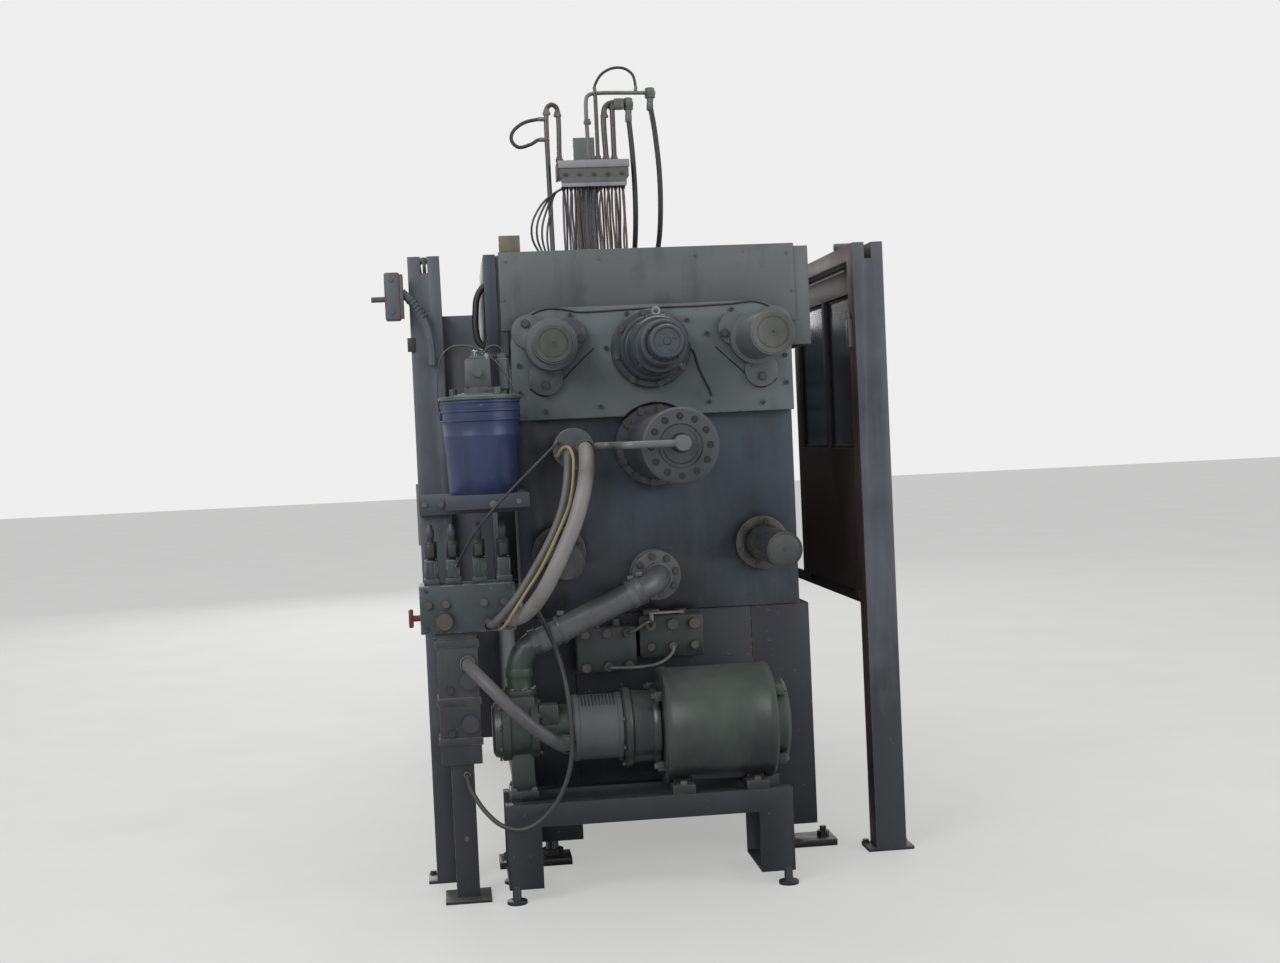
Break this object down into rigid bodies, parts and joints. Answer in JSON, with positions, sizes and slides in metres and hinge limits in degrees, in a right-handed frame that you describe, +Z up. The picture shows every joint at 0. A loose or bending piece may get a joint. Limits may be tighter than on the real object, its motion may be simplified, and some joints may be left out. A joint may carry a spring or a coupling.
{
  "type": "die casting machine",
  "caption": "Cold chamber die casting machine with toggle clamp, tie bars, injection unit, overhead sprayer, sliding guard doors and a pump set at its clamp end.",
  "frame": {"origin": "on the floor, below the middle of the bed, at the centre of the four anchor bolts", "axes": "+Z up, +Y along the machine from the clamp end to the injection end, +X to the right when seen from the clamp end"},
  "size_m": [1.904, 5.901, 3.3968],
  "materials": {
    "machine_paint": "grey-green enamel, grimy and oil stained",
    "bed_paint": "dark grey-green enamel, greasy",
    "motor_paint": "light green enamel, dusty",
    "nut_paint": "worn grey-green enamel",
    "steel": "ground steel with an oil film",
    "dark_steel": "dark oily steel",
    "rusty_steel": "rusty cast iron",
    "grey_metal": "plain grey enamel",
    "pipe_metal": "grey-green enamel over steel pipe",
    "pane": "smoked plastic pane",
    "pail_blue": "blue polyethylene",
    "hose_grey": "pale grey hose sleeve",
    "hose_tan": "tan hose",
    "hose_black": "black rubber hose",
    "tube_metal": "dull grey and copper tubes"
  },
  "bodies": {
    "machine": {"bed_beams": "bed_paint", "bed_cross_walls": "bed_paint", "levelling_feet": "dark_steel", "oil_tank": "motor_paint", "rear_platen": "machine_paint", "gear_cover": "machine_paint", "toggle_hood": "machine_paint", "nut_covers": "nut_paint", "tie_nuts": "dark_steel", "tie_bars": "steel", "gear_motor": "nut_paint", "closing_cylinder": "machine_paint", "crosshead": "dark_steel", "toggle_links": "dark_steel", "moving_platen": "machine_paint", "fixed_platen": "machine_paint", "injection_frame": "machine_paint", "shot_cylinder": "nut_paint", "shot_sleeve": "dark_steel", "shot_plunger": "steel", "accumulators": "grey_metal", "guard_frame_left": "machine_paint", "guard_frame_right": "machine_paint", "guard_shields": "machine_paint", "lamp": "grey_metal", "pail_shelf": "machine_paint", "pail": "pail_blue", "pail_lid": "nut_paint", "pail_pump": "grey_metal", "valve_manifold": "dark_steel", "manifold_stand": "rusty_steel", "hose_block": "nut_paint", "cylinder_pipe": "pipe_metal", "suction_pipe": "pipe_metal", "pump": "motor_paint", "pump_motor": "motor_paint", "coupling_guard": "grey_metal", "pump_frame": "dark_steel", "valve_blocks": "motor_paint", "sprayer_mast": "machine_paint", "sprayer_head": "machine_paint", "sprayer_pipes": "dark_steel", "spray_tubes": "tube_metal", "spray_nozzle_block": "dark_steel", "spray_valve_box": "machine_paint", "hood_box": "dark_steel", "signal_cable": "hose_black", "hose_large": "hose_grey", "hose_slim": "hose_grey", "hose_yellow": "hose_tan", "pressure_hose": "hose_grey", "cable_loop": "hose_black", "spray_hose_outer": "hose_black", "spray_hose_inner": "hose_black", "spray_loop": "hose_black", "spray_arch": "hose_black"},
    "door_left": {"door_left": "machine_paint", "panes_left": "pane"},
    "door_right": {"door_right": "machine_paint", "panes_right": "pane"}
  },
  "joints": [
    {"name": "door_left_slide", "type": "slide", "parent": "machine", "child": "door_left", "axis": [0, 1, 0], "range_m": [0, 1.17]},
    {"name": "door_right_slide", "type": "slide", "parent": "machine", "child": "door_right", "axis": [0, 1, 0], "range_m": [0, 1.17]}
  ]
}
